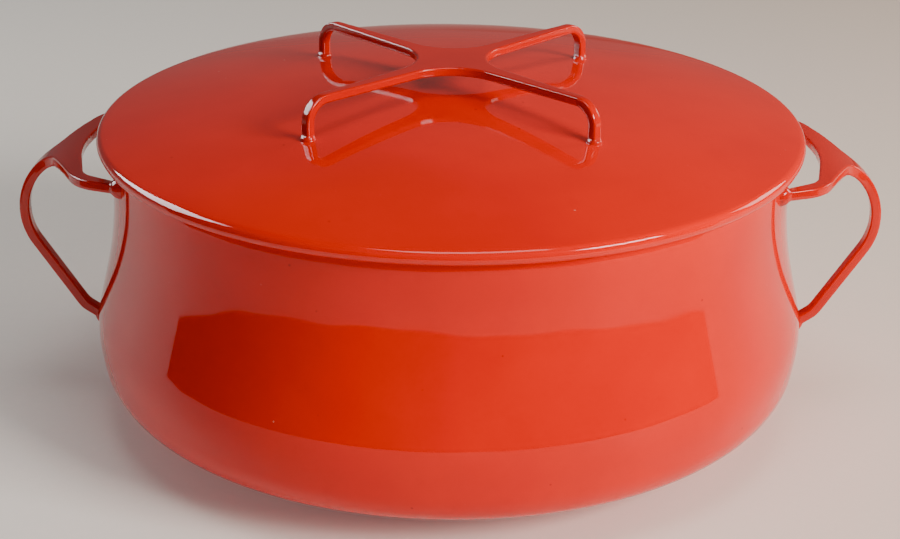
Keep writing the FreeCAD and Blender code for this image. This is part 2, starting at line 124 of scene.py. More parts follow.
class Shader:
    """Writes the node tree of one material or world."""

    def __init__(self, owner: bpy.types.Material | bpy.types.World) -> None:
        """Start from an empty tree.

        Args:
            owner: The material or world that the tree belongs to.
        """
        owner.use_nodes = True
        self.tree = owner.node_tree
        self.tree.nodes.clear()

    def raw(self, kind: str, settings: dict[str, Any] | None = None,
            inputs: dict[Any, Any] | None = None) -> bpy.types.Node:
        """Add a node of any type.

        Args:
            kind: The node's type name.
            settings: Attributes of the node, set before its sockets.
            inputs: Values or links, by socket name or number.

        Returns:
            The node.
        """
        node = self.tree.nodes.new(kind)
        for name, setting in (settings or {}).items():
            setattr(node, name, setting)
        for key, given in (inputs or {}).items():
            socket = node.inputs[key]
            if isinstance(given, Link):
                self.tree.links.new(given.socket, socket)
            elif isinstance(given, bpy.types.NodeSocket):
                self.tree.links.new(given, socket)
            else:
                socket.default_value = given
        return node

    def node(self, kind: str, settings: dict[str, Any] | None = None,
             inputs: dict[Any, Any] | None = None, output: Any = 0) -> Link:
        """Add a node and give back one of its outputs, wrapped.

        Args:
            kind: The node's type name.
            settings: Attributes of the node, set before its sockets.
            inputs: Values or links, by socket name or number.
            output: Name or number of the output wanted.

        Returns:
            The output as a Link.
        """
        return Link(self, self.raw(kind, settings, inputs).outputs[output])

    def place(self) -> Link:
        """Object coordinates, in metres in the part's own frame."""
        return self.node("ShaderNodeTexCoord", output="Object")

    def moved(self, scale: Sequence[float], turn: Sequence[float] = (0, 0, 0)) -> Link:
        """Object coordinates through a Mapping node."""
        return self.node("ShaderNodeMapping", {}, {"Vector": self.place(), "Scale": scale, "Rotation": turn})

    def noise(self, scale: float, detail: float = 2.0, rough: float = 0.5,
              vector: Link | None = None) -> Link:
        """A value from a noise texture, about 0.5 on average."""
        inputs = {"Vector": vector or self.place(), "Scale": scale, "Detail": detail, "Roughness": rough}
        return self.node("ShaderNodeTexNoise", {"noise_dimensions": "3D"}, inputs, "Fac")

    def cells(self, scale: float, feature: str = "F1", vector: Link | None = None) -> Link:
        """Distance output of a Voronoi texture."""
        inputs = {"Vector": vector or self.place(), "Scale": scale}
        return self.node("ShaderNodeTexVoronoi", {"feature": feature}, inputs, "Distance")

    def patches(self, grain: Grain, vector: Link | None = None) -> Link:
        """A mask of soft patches, 1 where the noise is high."""
        return self.noise(grain.scale, grain.detail, grain.rough, vector).ramp(grain.low, grain.high)

    def dots(self, grain: Grain) -> Link:
        """A mask that is 1 on small dots."""
        return 1.0 - self.cells(grain.scale).ramp(grain.low, grain.high)

    def blend(self, factor: Any, first: Any, second: Any) -> Link:
        """Mix two colours."""
        settings = {"data_type": "RGBA", "clamp_factor": True}
        return self.node("ShaderNodeMix", settings, {0: factor, 6: first, 7: second}, 2)

    def bump(self, height: Link, distance: float, strength: float = 1.0,
             normal: Link | None = None) -> Link:
        """A Bump node over an earlier normal, if there is one.

        Args:
            height: The height pattern, from 0 to 1.
            distance: Height of a full step, in metres.
            strength: Share of the step that is felt.
            normal: The earlier bump, or none.

        Returns:
            The new normal.
        """
        inputs: dict[Any, Any] = {"Height": height, "Distance": distance, "Strength": strength}
        if normal is not None:
            inputs["Normal"] = normal
        return self.node("ShaderNodeBump", {}, inputs)


def rgba(colour: Colour) -> tuple[float, float, float, float]:
    """A colour with full alpha."""
    return (*colour, 1.0)


# ------------------------------------------------------------------ finishes
class Wear(Enum):
    """How a piece of enamel has been used."""

    HANDLED = "handled"
    WIPED = "wiped"
    SHELTERED = "sheltered"


# Colour: slow pooling, fine mottle, firing flecks and lint, each with where it is found.
DRIFT = Grain(14.0, 0.35, 0.68, 3.0, 0.55)
MOTTLE = Grain(130.0, 0.56, 0.74, 4.0, 0.6)
FLECKS = Grain(150.0, 0.05, 0.09)
FLECKED_PLACES = Grain(70.0, 0.61, 0.65)
LINT = Grain(95.0, 0.030, 0.045)
LINT_PLACES = Grain(43.0, 0.60, 0.63)
LINT_COLOUR = (0.75, 0.42, 0.32)
EDGE_FROM, EDGE_TO = 0.53, 0.62

# Gloss: smudges, wiping marks drawn out one way, and dust.
SMUDGES = Grain(26.0, 0.52, 0.72, 5.0, 0.62)
WIPED = Grain(9.0, 0.50, 0.70, 6.0, 0.7)
WIPED_DRAW, WIPED_TURN = (1.0, 7.0, 1.0), (0.0, 0.0, 0.5)
DUST = Grain(330.0, 0.03, 0.07)
DUST_PLACES = Grain(80.0, 0.60, 0.64)
MARKS = {Wear.HANDLED: 0.10, Wear.WIPED: 0.07, Wear.SHELTERED: 0.03}

# Surface: firing waves, orange peel, pits and hair scratches drawn out one way.
WAVE_SCALE, PEEL_SCALE = 17.0, 260.0
PITS = Grain(150.0, 0.02, 0.07)
PIT_PLACES = Grain(60.0, 0.62, 0.66)
PIT_DEPTH = 0.04 * MM
SCRATCH_SCALE, SCRATCH_WIDTH, SCRATCH_DEPTH = 46.0, 0.012, 0.008 * MM
SCRATCH_DRAW, SCRATCH_TURN = (1.0, 14.0, 1.0), (0.0, 0.0, 0.9)
SCRATCH_PLACES = Grain(20.0, 0.56, 0.66, 2.0)


@dataclass(frozen=True)
class Enamel:
    """Fired glass enamel on steel: a clear gloss over a deep colour that thins on edges."""

    name: str
    colour: Colour
    deep: Colour
    thin: Colour
    wear: Wear
    gloss: float = 0.045
    density: float = 1.40
    ripple: float = 0.05 * MM

    def material(self) -> bpy.types.Material:
        """Write the material.

        Returns:
            The finished material.
        """
        made = bpy.data.materials.new(self.name)
        shader = Shader(made)
        colour = self._colour(shader)
        roughness = self._roughness(shader)
        normal = self._surface(shader)
        surface = shader.raw("ShaderNodeBsdfPrincipled", {}, {
            "Base Color": colour, "Roughness": roughness, "Normal": normal, "IOR": self.density,
        })
        shader.raw("ShaderNodeOutputMaterial", {}, {"Surface": surface.outputs[0]})
        return made

    def _colour(self, shader: Shader) -> Link:
        """Colour that pools and thins over centimetres, with fine firing flecks.

        Args:
            shader: The material's shader.

        Returns:
            The colour.
        """
        pooled = shader.blend(shader.patches(DRIFT) * 0.55, rgba(self.colour), rgba(self.deep))
        mottled = shader.blend(shader.patches(MOTTLE) * 0.16, pooled, rgba(self.deep))
        flecks = shader.dots(FLECKS) * shader.patches(FLECKED_PLACES)
        flecked = shader.blend(flecks * 0.70, mottled, rgba(self.thin))
        lint = shader.dots(LINT) * shader.patches(LINT_PLACES)
        linted = shader.blend(lint * 0.35, flecked, rgba(LINT_COLOUR))
        edge = shader.node("ShaderNodeNewGeometry", output="Pointiness").ramp(EDGE_FROM, EDGE_TO)
        return shader.blend(edge * 0.45, linted, rgba(self.thin))

    def _roughness(self, shader: Shader) -> Link:
        """Gloss broken by smudges, wiping marks and settled dust.

        Args:
            shader: The material's shader.

        Returns:
            The roughness.
        """
        smudges = shader.patches(SMUDGES)
        wiped = shader.patches(WIPED, shader.moved(WIPED_DRAW, WIPED_TURN))
        dust = shader.dots(DUST) * shader.patches(DUST_PLACES)
        strength = MARKS[self.wear]
        return self.gloss + smudges * strength * 0.6 + wiped * strength * 0.4 + dust * 0.3

    def _surface(self, shader: Shader) -> Link:
        """Long firing waves, orange peel, pits and hair scratches.

        Args:
            shader: The material's shader.

        Returns:
            The normal.
        """
        waves = shader.noise(WAVE_SCALE, 1.0, 0.4)
        peel = shader.noise(PEEL_SCALE, 2.0, 0.5)
        pitted = 1.0 - shader.dots(PITS) * shader.patches(PIT_PLACES)
        normal = shader.bump(waves, self.ripple * 9.0, 0.55)
        normal = shader.bump(peel, self.ripple * 0.10, 0.5, normal)
        normal = shader.bump(pitted, PIT_DEPTH, 0.5, normal)
        if self.wear is Wear.SHELTERED:
            return normal
        lines = shader.cells(SCRATCH_SCALE, "DISTANCE_TO_EDGE", shader.moved(SCRATCH_DRAW, SCRATCH_TURN))
        scratches = (1.0 - lines.ramp(0.0, SCRATCH_WIDTH)) * shader.patches(SCRATCH_PLACES)
        return shader.bump(1.0 - scratches, SCRATCH_DEPTH, 0.35, normal)


RED = Enamel("red_enamel", (0.68, 0.008, 0.0), (0.56, 0.004, 0.0), (0.28, 0.005, 0.001), Wear.WIPED,
             density=1.36)
RED_LID = Enamel("lid_enamel", (0.72, 0.009, 0.0), (0.60, 0.005, 0.0), (0.30, 0.005, 0.001), Wear.HANDLED,
                 density=1.46)
RED_GRIP = Enamel("grip_enamel", (0.56, 0.007, 0.0), (0.42, 0.004, 0.0), (0.22, 0.004, 0.001),
                  Wear.HANDLED, gloss=0.05, ripple=0.02 * MM, density=1.48)
WHITE = Enamel("white_enamel", (0.80, 0.78, 0.71), (0.74, 0.71, 0.62), (0.30, 0.27, 0.23),
               Wear.SHELTERED, gloss=0.08)


# ------------------------------------------------------------------ sections
def rounded(corners: Sequence[tuple[float, float, float]], step: float = math.radians(4),
            longest: float = 4 * MM) -> list[Point2]:
    """Points along an open outline whose corners are blended by arcs.

    Args:
        corners: (across, up, blend radius) of each corner; a radius of 0 keeps it sharp.
        step: Largest turn between two points on an arc.
        longest: Largest distance between two points on a straight run.

    Returns:
        The outline's points, in order.
    """
    spots = [np.array(corner[:2], float) for corner in corners]
    line: list[np.ndarray] = []
    for index, (across, up, blend) in enumerate(corners):
        here = spots[index]
        if blend <= 0 or index in (0, len(corners) - 1):
            line.append(here)
            continue
        back = (spots[index - 1] - here) / np.linalg.norm(spots[index - 1] - here)
        ahead = (spots[index + 1] - here) / np.linalg.norm(spots[index + 1] - here)
        half = math.acos(float(np.clip(back @ ahead, -1, 1))) / 2
        middle = here + (back + ahead) / np.linalg.norm(back + ahead) * blend / math.sin(half)
        first = here + back * blend / math.tan(half) - middle
        last = here + ahead * blend / math.tan(half) - middle
        start = math.atan2(first[1], first[0])
        sweep = math.atan2(last[1], last[0]) - start
        sweep = (sweep + math.pi) % (2 * math.pi) - math.pi
        count = max(2, math.ceil(abs(sweep) / step))
        for turn in np.linspace(start, start + sweep, count + 1):
            line.append(middle + blend * np.array([math.cos(turn), math.sin(turn)]))
    points = [line[0]]
    for spot in line[1:]:
        gap = float(np.linalg.norm(spot - points[-1]))
        if gap < TINY:
            continue
        parts = max(1, math.ceil(gap / longest))
        start = points[-1]
        points += [start + (spot - start) * share / parts for share in range(1, parts + 1)]
    return [(float(x), float(z)) for x, z in points]


def arc(middle: Point2, radius: float, start: float, end: float, count: int) -> list[Point2]:
    """Points on an arc, both ends included, angles in radians."""
    turns = np.linspace(start, end, count + 1)
    return [(middle[0] + radius * math.cos(t), middle[1] + radius * math.sin(t)) for t in turns]


def inset(line: Sequence[Point2], wall: float) -> list[Point2]:
    """An outline moved to its left by a wall's thickness, point by point.

    Args:
        line: The outline's points, in order.
        wall: How far it is moved.

    Returns:
        The moved outline.
    """
    spots = np.array(line)
    ways = np.gradient(spots, axis=0)
    ways /= np.linalg.norm(ways, axis=1)[:, None]
    left = np.stack([-ways[:, 1], ways[:, 0]], axis=1)
    return [(float(x), float(z)) for x, z in spots + left * wall]


# ------------------------------------------------------------------ the lathe
class Lathe:
    """Geometry Nodes that turn a section round the upright axis."""

    def __init__(self) -> None:
        """Build the tree once; every turned piece shares it."""
        tree = bpy.data.node_groups.new("lathe", "GeometryNodeTree")
        add = tree.interface.new_socket
        add("Section", in_out="INPUT", socket_type="NodeSocketGeometry")
        self.names = {}
        for name, kind in (("Rows", "Int"), ("Segments", "Int"), ("Lining From Row", "Int"),
                           ("Weld Distance", "Float"), ("Outside", "Material"), ("Lining", "Material")):
            self.names[name] = add(name, in_out="INPUT", socket_type="NodeSocket" + kind).identifier
        add("Turned", in_out="OUTPUT", socket_type="NodeSocketGeometry")
        self.tree = tree
        given = tree.nodes.new("NodeGroupInput").outputs
        grid = self._node("GeometryNodeMeshGrid", {}, {
            "Vertices X": self._math("ADD", given["Segments"], 1), "Vertices Y": given["Rows"]})
        index = self._node("GeometryNodeInputIndex").outputs[0]
        row = self._math("MODULO", index, given["Rows"])
        segment = self._math("FLOOR", self._math("DIVIDE", self._math("ADD", index, 0.5), given["Rows"]), 0)
        angle = self._math("MULTIPLY", self._math("DIVIDE", segment, given["Segments"]), 2 * math.pi)
        place = self._node("GeometryNodeInputPosition").outputs[0]
        spot = self._node("GeometryNodeSampleIndex", {"data_type": "FLOAT_VECTOR", "domain": "POINT"}, {
            "Geometry": given["Section"], "Value": place, "Index": row})
        turned = self._node("ShaderNodeVectorRotate", {"rotation_type": "Z_AXIS"}, {
            "Vector": spot.outputs[0], "Angle": angle})
        shaped = self._node("GeometryNodeSetPosition", {}, {
            "Geometry": grid.outputs["Mesh"], "Position": turned.outputs[0]})
        face_rows = self._math("SUBTRACT", given["Rows"], 1)
        face_row = self._math("MODULO", index, face_rows)
        lined = self._node("FunctionNodeCompare", {"data_type": "FLOAT", "operation": "GREATER_EQUAL"}, {
            "A": face_row, "B": given["Lining From Row"]})
        noted = self._node("GeometryNodeStoreNamedAttribute", {"data_type": "BOOLEAN", "domain": "FACE"}, {
            "Geometry": shaped.outputs[0], "Name": "lining", "Value": lined.outputs[0]})
        closed = self._node("GeometryNodeMergeByDistance", {}, {
            "Geometry": noted.outputs[0], "Distance": given["Weld Distance"]})
        smooth = self._node("GeometryNodeSetShadeSmooth", {}, {"Geometry": closed.outputs[0]})
        real = self._node("GeometryNodeRealizeInstances", {}, {"Geometry": smooth.outputs[0]})
        outside = self._node("GeometryNodeSetMaterial", {}, {
            "Geometry": real.outputs[0], "Material": given["Outside"]})
        marked = self._node("GeometryNodeInputNamedAttribute", {"data_type": "BOOLEAN"}, {"Name": "lining"})
        lining = self._node("GeometryNodeSetMaterial", {}, {
            "Geometry": outside.outputs[0], "Selection": marked.outputs[0], "Material": given["Lining"]})
        out = tree.nodes.new("NodeGroupOutput")
        tree.links.new(lining.outputs[0], out.inputs[0])

    def _node(self, kind: str, settings: dict[str, Any] | None = None,
              inputs: dict[Any, Any] | None = None) -> bpy.types.Node:
        """Add a node with its settings first and then its sockets.

        Args:
            kind: The node's type name.
            settings: Attributes of the node.
            inputs: Values or sockets, by socket name or number.

        Returns:
            The node.
        """
        node = self.tree.nodes.new(kind)
        for name, setting in (settings or {}).items():
            setattr(node, name, setting)
        for key, given in (inputs or {}).items():
            if isinstance(given, bpy.types.NodeSocket):
                self.tree.links.new(given, node.inputs[key])
            else:
                node.inputs[key].default_value = given
        return node

    def _math(self, operation: str, first: Any, second: Any) -> bpy.types.NodeSocket:
        """One Math node's result."""
        return self._node("ShaderNodeMath", {"operation": operation}, {0: first, 1: second}).outputs[0]

    def turn(self, name: str, section: Sequence[Point2], outside: bpy.types.Material,
             lining: bpy.types.Material | None = None, lining_from: int | None = None,
             segments: int = 320) -> bpy.types.Object:
        """Turn a section into a closed piece.

        Args:
            name: The piece's name.
            section: (radius, height) points in order.
            outside: Material of the rows before lining_from.
            lining: Material of the rows from lining_from on.
            lining_from: First row of the lining; none if the whole piece is one finish.
            segments: Facets round the axis.

        Returns:
            A plain mesh object with its place in its mesh.
        """
        mesh = bpy.data.meshes.new(name + "_section")
        mesh.from_pydata([(x, 0.0, z) for x, z in section],
                         [(i, i + 1) for i in range(len(section) - 1)], [])
        blank = bpy.data.objects.new(name + "_section", mesh)
        bpy.context.scene.collection.objects.link(blank)
        modifier = blank.modifiers.new("lathe", "NODES")
        modifier.node_group = self.tree
        rows = len(section)
        values = {"Rows": rows, "Segments": segments, "Weld Distance": WELD,
                  "Lining From Row": rows if lining_from is None else lining_from,
                  "Outside": outside, "Lining": lining or outside}
        for key, given in values.items():
            modifier[self.names[key]] = given
        return plain(blank, name)


def plain(source: bpy.types.Object, name: str) -> bpy.types.Object:
    """Turn an object with modifiers into a plain mesh object.

    Args:
        source: The object; it is removed.
        name: The new object's name.

    Returns:
        A new object with every modifier applied and its faces turned outward.
    """
    graph = bpy.context.evaluated_depsgraph_get()
    mesh = bpy.data.meshes.new_from_object(source.evaluated_get(graph))
    bpy.data.objects.remove(source)
    mesh.name = name
    work = bmesh.new()
    work.from_mesh(mesh)
    bmesh.ops.dissolve_degenerate(work, dist=TINY, edges=work.edges)
    bmesh.ops.recalc_face_normals(work, faces=work.faces)
    if work.calc_volume(signed=True) < 0:
        bmesh.ops.reverse_faces(work, faces=work.faces)
    work.to_mesh(mesh)
    work.free()
    for polygon in mesh.polygons:
        polygon.use_smooth = True
    piece = bpy.data.objects.new(name, mesh)
    bpy.context.scene.collection.objects.link(piece)
    return piece


# ------------------------------------------------------------------ pot
@dataclass
class Pot:
    """The deep-drawn shell: outline, wall, rolled rim and the pressed step in its base."""

    lathe: Lathe
    base_radius: float = 102.6 * MM
    base_blend: float = 30.0 * MM
    knuckle: tuple[float, float, float] = (142.3 * MM, 17.2 * MM, 20.0 * MM)
    belly: tuple[float, float, float] = (146.2 * MM, 41.7 * MM, 45.0 * MM)
    neck: tuple[float, float, float] = (136.8 * MM, 82.0 * MM, 150.0 * MM)
    wall: float = 1.8 * MM
    step_radius: float = 84.0 * MM
    step_rise: float = 0.7 * MM
    step_slope: float = 2.5 * MM
    step_blend: float = 3.0 * MM
    step_end: float = 5.5 * MM
    flat_start: float = 6.0 * MM
    floor_step: float = 9.0 * MM
    rim_facets: int = 10
    red_rim_rows: int = 7

    def __post_init__(self) -> None:
        """Lay out the outside once, from the flat of the base up to the rim."""
        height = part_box("pot_body")[1].z
        self.outline = rounded([
            (self.step_radius + self.flat_start, 0.0, 0.0), (self.base_radius, 0.0, self.base_blend),
            self.knuckle, self.belly, self.neck, (self.neck[0], height, 0.0)], step=math.radians(2.0))
        self.levels = np.array(self.outline)

    def radius_at(self, height: float) -> float:
        """The outside radius at a height."""
        return float(np.interp(height, self.levels[:, 1], self.levels[:, 0]))

    def build(self) -> bpy.types.Object:
        """Turn the shell, red outside and off-white inside.

        Returns:
            The pot's shell as one closed mesh.
        """
        outside = self.outline
        height = outside[-1][1]
        wall = self.wall
        upright = [point for point in outside if point[1] < height - wall]
        rim = arc((self.neck[0] - wall / 2, height - wall / 2), wall / 2, 0.0, math.pi, self.rim_facets)
        inside = inset(upright, wall)[::-1]
        step = rounded([(0.0, self.step_rise, 0), (self.step_radius, self.step_rise, self.step_blend),
                        (self.step_radius + self.step_slope, 0.0, self.step_blend),
                        (self.step_radius + self.step_end, 0.0, 0)], longest=self.floor_step)
        floor = rounded([(inside[-1][0], wall, 0), (0.0, wall, 0)], longest=self.floor_step)
        section = step + upright + rim + inside + floor[1:]
        lining_from = len(step) + len(upright) + self.red_rim_rows
        return self.lathe.turn("pot_shell", section, RED.material(), WHITE.material(), lining_from)


# ------------------------------------------------------------------ lid
@dataclass
class Lid:
    """The domed pressing with its rounded edge, turned-in seat and locating ring."""

    lathe: Lathe
    edge: float = 3.0 * MM
    dome: float = 690.0 * MM
    wall: float = 1.6 * MM
    hem: float = 4.6 * MM
    seat_inner: float = 132.6 * MM
    seat_blend: float = 0.7 * MM
    hem_blends: tuple[float, float] = (1.2 * MM, 1.6 * MM)
    hem_run: float = 8.0 * MM
    hem_drop: float = 1.6 * MM
    ring_wall: float = 1.5 * MM
    ring_blends: tuple[float, float] = (0.2 * MM, 0.7 * MM)

    def __post_init__(self) -> None:
        """Read the lid's place from the frame."""
        low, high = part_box("lid_shell")
        self.radius = (high.x - low.x) / 2
        self.seat = low.z
        self.edge_centre = (self.radius - self.edge, self.seat + self.edge)
        drop = math.sqrt((self.dome - self.edge) ** 2 - self.edge_centre[0] ** 2)
        self.dome_centre = self.edge_centre[1] - drop

    def top_at(self, radius: float) -> float:
        """Height of the dome's top surface at a radius."""
        return self.dome_centre + math.sqrt(self.dome ** 2 - radius ** 2)

    def build(self) -> bpy.types.Object:
        """Turn the pressing, red above and off-white below.

        Returns:
            The lid's pressing as one closed mesh.
        """
        lean = math.atan2(self.edge_centre[1] - self.dome_centre, self.edge_centre[0])
        radii = np.linspace(0.0, self.dome * math.cos(lean), 46)
        top = [(float(r), self.top_at(float(r))) for r in radii]
        bead = arc(self.edge_centre, self.edge, lean, -math.pi / 2, 22)[1:]
        ceiling = self.seat + self.wall
        hem = self.radius - self.hem
        under_dome = math.sqrt((self.dome - self.wall) ** 2 - hem ** 2) + self.dome_centre
        run_end = hem - self.hem_run
        under = rounded([
            bead[-1] + (0.0,), (self.seat_inner, self.seat, self.seat_blend),
            (self.seat_inner, ceiling, self.seat_blend), (hem, ceiling, self.hem_blends[0]),
            (hem, under_dome, self.hem_blends[1]), (run_end, under_dome + self.hem_drop, 0.0)],
            step=math.radians(12))
        inner = [(float(r), self.dome_centre + math.sqrt((self.dome - self.wall) ** 2 - float(r) ** 2))
                 for r in np.linspace(run_end, 0.0, 40)]
        section = top + bead + under[1:-1] + inner
        lining_from = len(top) + len(bead) - 1
        return self.lathe.turn("lid_pressing", section, RED_LID.material(), WHITE.material(), lining_from)

    def build_ring(self) -> bpy.types.Object:
        """Turn the locating ring that hangs under the seat.

        Returns:
            The ring as one closed mesh.
        """
        low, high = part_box("lid_locating_ring")
        outer = high.x
        inner = outer - self.ring_wall
        middle = (outer + inner) / 2
        sharp, soft = self.ring_blends
        section = rounded([(middle, high.z, 0), (inner, high.z, sharp), (inner, low.z, soft),
                           (outer, low.z, soft), (outer, high.z, sharp), (middle, high.z, 0)],
                          step=math.radians(15), longest=2 * MM)
        return self.lathe.turn("locating_ring", section, WHITE.material(), segments=256)


# ------------------------------------------------------------------ bent plate handles
@dataclass
class PlateHandle:
    """A handle of bent plate, its welds and its feet, under one coat of enamel."""

    name: str
    nodes: tuple[str, ...]
    surface: Callable[[float, float], Vector]
    feet: list[tuple[float, float]]
    wall_radius: Callable[[float], float] = float
    voxel: float = 0.36 * MM
    passes: int = 9
    coat: float = 0.24 * MM
    sunk: float = 0.50 * MM
    slab: float = 0.55 * MM
    patch: float = 7.0 * MM
    patch_steps: int = 14
    pull: float = 0.5
    beads: list[tuple[Vector, Vector]] = field(default_factory=list)

    def _plates(self) -> bmesh.types.BMesh:
        """The frame's own solids, with their doubled points merged.

        Returns:
            A work mesh that holds a copy of the plate and its welds.
        """
        work = bmesh.new()
        for node in self.nodes:
            work.from_mesh(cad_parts[node].data)
        bmesh.ops.remove_doubles(work, verts=work.verts, dist=MERGE)
        return work

    def _add_patch(self, work: bmesh.types.BMesh, foot: tuple[float, float]) -> None:
        """Add a slab of the surface that a foot stands on, just under that surface.

        Args:
            work: The work mesh to add to.
            foot: The foot's place on the surface.
        """
        steps = self.patch_steps
        verts = [[[work.verts.new(self._under(foot, i, j, depth)) for j in range(steps + 1)]
                  for i in range(steps + 1)] for depth in (self.sunk, self.sunk + self.slab)]
        for i in range(steps):
            for j in range(steps):
                for sheet in (0, 1):
                    quad = [verts[sheet][i][j], verts[sheet][i + 1][j],
                            verts[sheet][i + 1][j + 1], verts[sheet][i][j + 1]]
                    work.faces.new(quad if sheet == 0 else quad[::-1])
        for i in range(steps):
            for j, flip in ((0, False), (steps, True)):
                side = [verts[0][i][j], verts[1][i][j], verts[1][i + 1][j], verts[0][i + 1][j]]
                work.faces.new(side[::-1] if flip else side)
                turned = [verts[0][j][i], verts[0][j][i + 1], verts[1][j][i + 1], verts[1][j][i]]
                work.faces.new(turned[::-1] if flip else turned)

    def _under(self, foot: tuple[float, float], i: int, j: int, depth: float) -> Vector:
        """A point under the surface, at steps i and j across the patch round a foot.

        Args:
            foot: The foot's place on the surface.
            i: Step along the surface's first direction.
            j: Step along its second direction.
            depth: How far under the surface the point lies.

        Returns:
            The point.
        """
        u = foot[0] + (i / self.patch_steps - 0.5) * 2 * self.patch
        v = foot[1] + (j / self.patch_steps - 0.5) * 2 * self.patch
        here = self.surface(u, v)
        across = self.surface(u + PROBE, v) - here
        along = self.surface(u, v + PROBE) - here
        return here - across.cross(along).normalized() * depth

    def _add_bead(self, work: bmesh.types.BMesh, centre: Vector, half: Vector) -> None:
        """Add a whole bead, its buried half kept within the wall.

        Args:
            work: The work mesh to add to.
            centre: The bead's centre.
            half: Its half sizes.
        """
        made = bmesh.ops.create_icosphere(work, subdivisions=3, radius=1.0)
        for vert in made["verts"]:
            spot = Vector((vert.co.x * half.x, vert.co.y * half.y, vert.co.z * half.z)) + centre
            wall = self.wall_radius(spot.z) - self.sunk - self.slab
            lift = max(1.0, wall / math.hypot(spot.x, spot.y))
            vert.co = Vector((spot.x * lift, spot.y * lift, spot.z))

    def build(self) -> bpy.types.Object:
        """Join plate, beads and patches, then round everything as poured enamel would.

        Returns:
            The handle as one closed mesh.
        """
        work = self._plates()
        for foot in self.feet:
            self._add_patch(work, foot)
        for centre, half in self.beads:
            self._add_bead(work, centre, half)
        mesh = bpy.data.meshes.new(self.name + "_blank")
        work.to_mesh(mesh)
        work.free()
        blank = bpy.data.objects.new(self.name + "_blank", mesh)
        bpy.context.scene.collection.objects.link(blank)
        remesh = blank.modifiers.new("one_skin", "REMESH")
        remesh.mode = "VOXEL"
        remesh.voxel_size = self.voxel
        remesh.use_smooth_shade = True
        smooth = blank.modifiers.new("poured", "SMOOTH")
        smooth.factor = self.pull
        smooth.iterations = self.passes
        coat = blank.modifiers.new("coat", "DISPLACE")
        coat.strength = self.coat
        coat.mid_level = 0.0
        piece = plain(blank, self.name)
        piece.data.materials.clear()
        piece.data.materials.append(RED_GRIP.material())
        return piece


STRAP = 3.6 * MM
BEAD = 4.1 * MM
LEG_INSET = 2.3 * MM
NECK_BEAD = Vector((3.4 * MM, 3.9 * MM, 3.0 * MM))
FOOT_BEAD = Vector((3.4 * MM, 3.9 * MM, 3.4 * MM))


def side_handle(pot: Pot, side: int) -> PlateHandle:
    """The handle on one side of the pot.

    Args:
        pot: The pot that it is welded to.
        side: 1 for the right handle and -1 for the left one.

    Returns:
        The handle, ready to build.
    """
    word = "right" if side > 0 else "left"
    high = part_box(word + "_handle")[1]
    welds_low, welds_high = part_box(word + "_handle_welds")

    def surface(u: float, v: float) -> Vector:
        """The pot's outside at a distance round from the X axis and a height.

        Args:
            u: Distance along the outside from the X axis.
            v: Height.

        Returns:
            The point.
        """
        radius = pot.radius_at(v)
        angle = u / radius
        return Vector((side * radius * math.cos(angle), side * radius * math.sin(angle), v))

    level = high.z - STRAP / 2
    spread = welds_high.y - BEAD
    radius = pot.radius_at(level)
    u = math.asin(spread / radius) * radius
    foot = welds_low.z + BEAD
    beads = [(surface(u, level), NECK_BEAD), (surface(-u, level), NECK_BEAD),
             (surface(0.0, foot), FOOT_BEAD)]
    return PlateHandle(word + "_side_handle", (word + "_handle", word + "_handle_welds"), surface,
                       [(u, level), (-u, level), (0.0, foot)], pot.radius_at, beads=beads)


def cross_handle(lid: Lid) -> PlateHandle:
    """The four-legged handle on the lid.

    Args:
        lid: The lid that it stands on.

    Returns:
        The handle, ready to build.
    """
    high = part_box("lid_handle")[1]
    reach = high.x - LEG_INSET

    def surface(u: float, v: float) -> Vector:
        """The dome's top over a place on the plan."""
        return Vector((u, v, lid.top_at(math.hypot(u, v))))

    feet = [(x * reach, y * reach) for x in (1, -1) for y in (1, -1)]
    return PlateHandle("cross_handle", ("lid_handle", "lid_handle_welds"), surface, feet, patch=6.0 * MM)


# ------------------------------------------------------------------ studio
@dataclass(frozen=True)
class SoftBox:
    """A soft light: where it stands, how large it is and how bright."""

    name: str
    place: tuple[float, float, float]
    size: tuple[float, float]
    power: float
    colour: Colour = (1.0, 1.0, 1.0)
    aim: tuple[float, float, float] = (0.0, 0.0, 0.07)

    def build(self) -> None:
        """Add the light, turned towards its aim."""
        lamp = bpy.data.lights.new(self.name, "AREA")
        lamp.shape = "RECTANGLE"
        lamp.size, lamp.size_y = self.size
        lamp.energy = self.power
        lamp.color = self.colour
        holder = bpy.data.objects.new(self.name, lamp)
        holder.matrix_world = facing(self.place, self.aim)
        bpy.context.scene.collection.objects.link(holder)


@dataclass(frozen=True)
class GlowCard:
    """A bright card that shows only in gloss: where it stands, its size and how bright it is."""

    name: str
    place: tuple[float, float, float]
    size: tuple[float, float]
    strength: float
    colour: Colour
    aim: tuple[float, float, float] = (0.0, 0.0, 0.12)

    def build(self) -> None:
        """Add the card, facing its aim."""
        wide, tall = self.size[0] / 2, self.size[1] / 2
        mesh = bpy.data.meshes.new(self.name)
        mesh.from_pydata([(-wide, -tall, 0), (wide, -tall, 0), (wide, tall, 0), (-wide, tall, 0)], [],
                         [(0, 1, 2, 3)])
        mesh.transform(facing(self.place, self.aim))
        mesh.materials.append(glow(self.name, rgba(self.colour), self.strength))
        unseen(self.name, mesh)


def facing(place: Sequence[float], aim: Sequence[float]) -> Matrix:
    """The matrix that stands something at a place with its -Z towards an aim."""
    way = Vector(aim) - Vector(place)
    return Matrix.Translation(place) @ way.to_track_quat("-Z", "Y").to_matrix().to_4x4()


